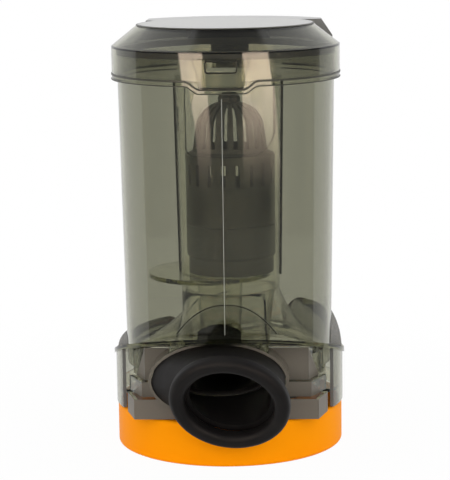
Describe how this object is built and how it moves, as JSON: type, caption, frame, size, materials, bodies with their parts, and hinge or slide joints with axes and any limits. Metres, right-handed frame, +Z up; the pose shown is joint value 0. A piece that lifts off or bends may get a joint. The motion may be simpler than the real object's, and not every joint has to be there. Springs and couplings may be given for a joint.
{
  "type": "cyclone dust bin",
  "caption": "Smoked clear cyclone dust bin for a vacuum cleaner: hinged lid, slotted core in an inner tube, angled rubber air inlet and a twist-off filter base.",
  "frame": {"origin": "centre of the underside of the filter base", "axes": "+Z up along the bin, -Y towards the air inlet, +Y towards the lid hinge"},
  "size_m": [0.134, 0.183, 0.2425],
  "materials": {
    "smoked_plastic": "clear smoked plastic, polished",
    "orange_plastic": "satin moulded",
    "black_rubber": "matte moulded",
    "dark_plastic": "satin moulded",
    "filter_paper": "pleated fibre",
    "filter_foam": "open-cell foam",
    "screw_steel": "plated"
  },
  "bodies": {
    "bin": {"bin_body": "smoked_plastic", "filter_plate": "smoked_plastic", "plate_screws": "screw_steel", "inlet_cowl": "smoked_plastic", "inlet_boot": "black_rubber", "inlet_gasket": "black_rubber", "inlet_duct": "smoked_plastic", "cyclone_tube": "smoked_plastic", "outlet_pipe": "smoked_plastic", "hinge_pin": "screw_steel"},
    "lid": {"lid": "smoked_plastic", "lid_seal": "black_rubber"},
    "core": {"core_drum": "dark_plastic", "core_grille": "dark_plastic", "core_cap": "dark_plastic", "core_seal": "black_rubber"},
    "base": {"filter_base": "orange_plastic", "base_seal": "black_rubber", "filter_frame": "dark_plastic", "pleat_pack": "filter_paper", "filter_seal": "black_rubber", "foam_filter": "filter_foam"}
  },
  "joints": [
    {"name": "lid_hinge", "type": "hinge", "parent": "bin", "child": "lid", "pos_m": [0, 0.0705, 0.214], "axis": [-1, 0, 0], "range_deg": [0, 100]},
    {"name": "core_twist", "type": "hinge", "parent": "bin", "child": "core", "pos_m": [0.0019, 0, 0.1], "axis": [0, 0, 1], "range_deg": [0, 30]},
    {"name": "base_twist", "type": "hinge", "parent": "bin", "child": "base", "pos_m": [0, 0, 0], "axis": [0, 0, 1], "range_deg": [0, 25]}
  ]
}
